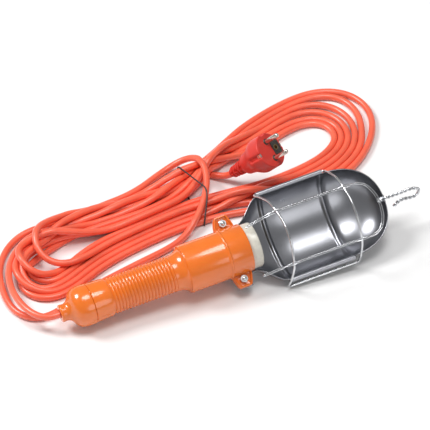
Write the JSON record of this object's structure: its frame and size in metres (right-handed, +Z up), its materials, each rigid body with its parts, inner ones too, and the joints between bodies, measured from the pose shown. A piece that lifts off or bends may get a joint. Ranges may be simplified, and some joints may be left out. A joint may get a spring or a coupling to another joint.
{
  "type": "hand-held work light",
  "caption": "Hand-held work light with ribbed handle, half-open steel reflector, hinged wire guard, swivel hook, and mains lead wound as a hank with a moulded earthed plug.",
  "frame": {"origin": "bottom centre of the lamp's bounding box as it lies on the floor, without its lead", "axes": "+X along the lamp from the cable end to the hook, +Z up from the floor, +Y towards the hinged edge of the reflector"},
  "size_m": [0.4534, 0.2701, 0.0855],
  "materials": {
    "orange_plastic": "moulded, glossy",
    "coral_cable": "satin PVC sheath",
    "red_plug": "moulded soft PVC, satin",
    "black_rubber": "matt",
    "black_tie": "plastic-coated wire",
    "dark_insert": "matt",
    "cream_ceramic": "glazed",
    "bright_sheet": "bright rolled sheet",
    "plain_steel": "plain",
    "zinc_wire": "bright zinc plate",
    "nickel_plate": "bright nickel plate",
    "brass": "plain",
    "brown_core": "PVC insulation",
    "blue_core": "PVC insulation"
  },
  "bodies": {
    "handle": {"centre_contact": "brass", "cord_gland": "black_rubber", "core_live": "brown_core", "core_neutral": "blue_core", "ear_bolt_free_side": "zinc_wire", "ear_bolt_hinge_side": "zinc_wire", "ear_nut_free_side": "zinc_wire", "ear_nut_hinge_side": "zinc_wire", "ear_washer_free_side": "zinc_wire", "ear_washer_hinge_side": "zinc_wire", "gland_washer": "plain_steel", "grip": "orange_plastic", "hank_tie": "black_tie", "hook_eyelet": "zinc_wire", "lampholder_ceramic": "cream_ceramic", "lead_arch": "coral_cable", "lead_exit": "coral_cable", "lead_hank": "coral_cable", "lead_in_handle": "coral_cable", "lead_plug_end": "coral_cable", "plug_body": "red_plug", "plug_bridge": "dark_insert", "plug_earth_clip_lower": "nickel_plate", "plug_earth_clip_upper": "nickel_plate", "plug_earth_sleeve": "brass", "plug_pin_live": "nickel_plate", "plug_pin_neutral": "nickel_plate", "plug_strain_relief": "red_plug", "reflector": "bright_sheet", "shell_contact": "brass", "tail_cap": "orange_plastic", "terminal_screw_live": "brass", "terminal_screw_neutral": "brass", "threaded_shell": "brass"},
    "guard": {"guard_frame": "zinc_wire", "guard_strand_outer": "zinc_wire", "guard_strand_inner": "zinc_wire"},
    "hook": {"hook": "zinc_wire", "hook_retainer": "zinc_wire"}
  },
  "joints": [
    {"name": "guard_hinge", "type": "hinge", "parent": "handle", "child": "guard", "pos_m": [0.06765, 0.04226, 0.06578], "axis": [-0.9973, 0, -0.0732], "range_deg": [0, 120]},
    {"name": "hook_swivel", "type": "hinge", "parent": "handle", "child": "hook", "pos_m": [0.15698, 0.00693, 0.04069], "axis": [0.9973, 0, 0.0732], "continuous": true}
  ]
}
